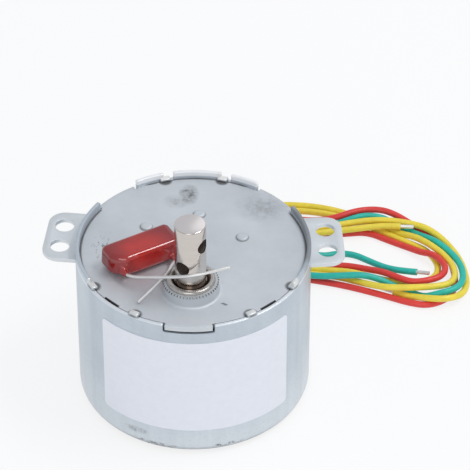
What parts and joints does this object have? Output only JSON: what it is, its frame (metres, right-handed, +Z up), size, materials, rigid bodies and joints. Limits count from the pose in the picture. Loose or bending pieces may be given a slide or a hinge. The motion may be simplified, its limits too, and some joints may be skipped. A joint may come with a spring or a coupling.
{
  "type": "synchronous gear motor",
  "caption": "Round synchronous gear motor with an off-centre cross-drilled output shaft, side mounting ears, a film capacitor resting on its cover and loose connection leads.",
  "frame": {"origin": "centre of the can's underside", "axes": "+Z up along the can and the output shaft, +X through the right mounting ear, +Y away from the output shaft"},
  "size_m": [0.0932, 0.0842, 0.0538],
  "materials": {
    "plated_steel": "bright zinc plating, satin",
    "label_film": "plain white film, satin",
    "pole_steel": "plain sheet steel",
    "nickel_steel": "polished nickel plating",
    "bush_steel": "turned steel",
    "arbor_steel": "ground steel",
    "bronze": "sintered, dull",
    "bobbin_plastic": "moulded, matt",
    "copper_winding": "enamelled wire",
    "ferrite": "dull, dark",
    "gear_plastic": "moulded, satin",
    "gear_steel": "cut steel",
    "capacitor_epoxy": "dipped, glossy",
    "tinned_wire": "tinned, bright",
    "grommet_rubber": "matt",
    "red_insulation": "soft vinyl, satin",
    "green_insulation": "soft vinyl, satin",
    "yellow_insulation": "soft vinyl, satin"
  },
  "bodies": {
    "housing": {"can": "plated_steel", "cover_plate": "plated_steel", "left_ear": "plated_steel", "right_ear": "plated_steel", "label": "label_film", "lower_pole_plate": "pole_steel", "lower_middle_pole_plate": "pole_steel", "upper_middle_pole_plate": "pole_steel", "upper_pole_plate": "pole_steel", "base_plate": "pole_steel", "output_bush": "bush_steel", "output_thrust_washer": "bush_steel", "rotor_arbor": "arbor_steel", "first_arbor": "arbor_steel", "second_arbor": "arbor_steel", "third_arbor": "arbor_steel", "fourth_arbor": "arbor_steel", "lower_output_bush": "bronze", "lower_bobbin": "bobbin_plastic", "upper_bobbin": "bobbin_plastic", "lower_coil": "copper_winding", "upper_coil": "copper_winding", "rotor_thrust_washer": "gear_plastic", "tinned_ends": "tinned_wire", "wire_grommet": "grommet_rubber", "red_lead": "red_insulation", "green_lead": "green_insulation", "outer_yellow_lead": "yellow_insulation", "inner_yellow_lead": "yellow_insulation"},
    "rotor": {"rotor_magnet": "ferrite", "rotor_hub": "gear_plastic"},
    "first_gear": {"first_wheel": "gear_plastic", "first_pinion": "gear_plastic"},
    "second_gear": {"second_wheel": "gear_plastic", "second_pinion": "gear_plastic"},
    "third_gear": {"third_wheel": "gear_steel", "third_pinion": "gear_steel"},
    "fourth_gear": {"fourth_wheel": "gear_steel", "fourth_pinion": "gear_steel"},
    "output": {"output_shaft": "nickel_steel", "output_wheel": "gear_steel"},
    "capacitor": {"capacitor_body": "capacitor_epoxy", "capacitor_leads": "tinned_wire"}
  },
  "joints": [
    {"name": "rotor_turn", "type": "hinge", "parent": "housing", "child": "rotor", "pos_m": [0, 0, 0.03], "axis": [0, 0, 1], "continuous": true},
    {"name": "first_gear_turn", "type": "hinge", "parent": "housing", "child": "first_gear", "pos_m": [0.01033, 0.00432, 0.03], "axis": [0, 0, 1], "continuous": true},
    {"name": "second_gear_turn", "type": "hinge", "parent": "housing", "child": "second_gear", "pos_m": [0.00088, 0.01171, 0.03], "axis": [0, 0, 1], "continuous": true},
    {"name": "third_gear_turn", "type": "hinge", "parent": "housing", "child": "third_gear", "pos_m": [-0.01027, 0.00727, 0.03], "axis": [0, 0, 1], "continuous": true},
    {"name": "fourth_gear_turn", "type": "hinge", "parent": "housing", "child": "fourth_gear", "pos_m": [-0.01003, -0.00472, 0.03], "axis": [0, 0, 1], "continuous": true},
    {"name": "output_turn", "type": "hinge", "parent": "housing", "child": "output", "pos_m": [0, -0.013, 0.03], "axis": [0, 0, 1], "continuous": true},
    {"name": "capacitor_lift", "type": "slide", "parent": "housing", "child": "capacitor", "axis": [0, 0, 1], "range_m": [0, 0.04]}
  ],
  "couplings": [
    {"joint": "first_gear_turn", "follows": "rotor_turn", "ratio": -0.33333},
    {"joint": "second_gear_turn", "follows": "rotor_turn", "ratio": 0.066667},
    {"joint": "third_gear_turn", "follows": "rotor_turn", "ratio": -0.033333},
    {"joint": "fourth_gear_turn", "follows": "rotor_turn", "ratio": 0.016667},
    {"joint": "output_turn", "follows": "rotor_turn", "ratio": -0.005}
  ]
}
